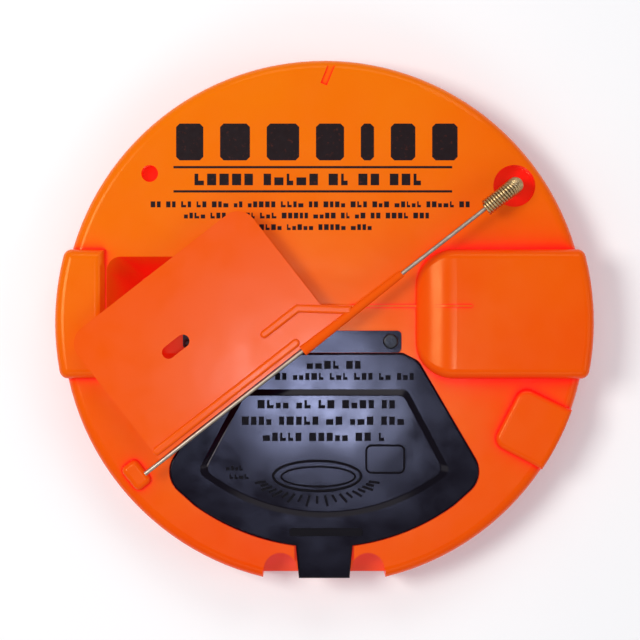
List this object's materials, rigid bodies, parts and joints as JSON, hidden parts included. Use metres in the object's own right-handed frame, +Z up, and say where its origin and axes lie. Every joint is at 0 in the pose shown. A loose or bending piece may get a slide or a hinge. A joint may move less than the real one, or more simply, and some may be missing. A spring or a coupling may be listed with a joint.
{
  "type": "ice fishing tip-up",
  "caption": "Round insulated ice-fishing tip-up folded for storage: disc cover with a sprung flag arm, hinged compartment cover, and an underside reel on a swing-out housing.",
  "frame": {"origin": "on the resting surface under the middle of the disc", "axes": "+Z up out of the deck, -Y towards the cover's rim tab, +X towards the block over the reel"},
  "size_m": [0.307, 0.296, 0.0527],
  "materials": {
    "shell_top": "satin",
    "shell_bottom": "satin",
    "foam": "matte",
    "bush": "satin",
    "cover_black": "satin",
    "black_plastic": "satin",
    "black_screw": "satin",
    "zinc_steel": "satin",
    "wire": "satin",
    "gold_spring": "satin",
    "brass_sleeve": "satin",
    "flag_plastic": "gloss"
  },
  "bodies": {
    "disc": {"top_shell": "shell_top", "bottom_shell": "shell_bottom", "foam_core": "foam", "pivot_bush_near": "bush", "pivot_bush_far": "bush", "flag_socket": "zinc_steel", "hook_keeper": "black_plastic", "hinge_strip": "cover_black", "cover_screw_left": "black_screw", "cover_screw_right": "black_screw", "spring_foot": "gold_spring"},
    "housing": {"shaft_tube": "black_plastic", "trunnion_near": "zinc_steel", "trunnion_far": "zinc_steel", "rod_bush_upper": "bush", "rod_bush_lower": "bush", "reel_bracket": "zinc_steel", "bracket_screw": "zinc_steel", "reel_axle": "zinc_steel", "drag_washer": "zinc_steel", "wing_nut": "zinc_steel"},
    "trigger": {"trigger_rod": "zinc_steel", "trigger_bar": "black_plastic", "rod_washer": "zinc_steel"},
    "reel": {"spool": "black_plastic", "trip_tooth": "zinc_steel", "spool_sleeve": "brass_sleeve"},
    "lid": {"cover": "cover_black"},
    "flag": {"flag_spring": "gold_spring", "flag_wire": "wire", "flag_panel": "flag_plastic"}
  },
  "joints": [
    {"name": "housing_swing", "type": "hinge", "parent": "disc", "child": "housing", "pos_m": [-0.016, 0.007, 0.023], "axis": [0, 1, 0], "range_deg": [0, 90]},
    {"name": "trigger_turn", "type": "hinge", "parent": "housing", "child": "trigger", "pos_m": [-0.016, 0.007, 0.023], "axis": [1, 0, 0], "range_deg": [0, 90]},
    {"name": "reel_spin", "type": "hinge", "parent": "housing", "child": "reel", "pos_m": [0.1, 0.007, 0.023], "axis": [0, 0, 1], "continuous": true},
    {"name": "lid_lift", "type": "hinge", "parent": "disc", "child": "lid", "pos_m": [0, -0.0171, 0.034], "axis": [-1, 0, 0], "range_deg": [0, 10]},
    {"name": "flag_swing", "type": "hinge", "parent": "disc", "child": "flag", "pos_m": [0.10848, 0.07795, 0.048], "axis": [-0.6148, 0.7887, 0], "range_deg": [0, 90], "stiffness_Nm_per_rad": 0.08, "springref_deg": 100.27}
  ]
}
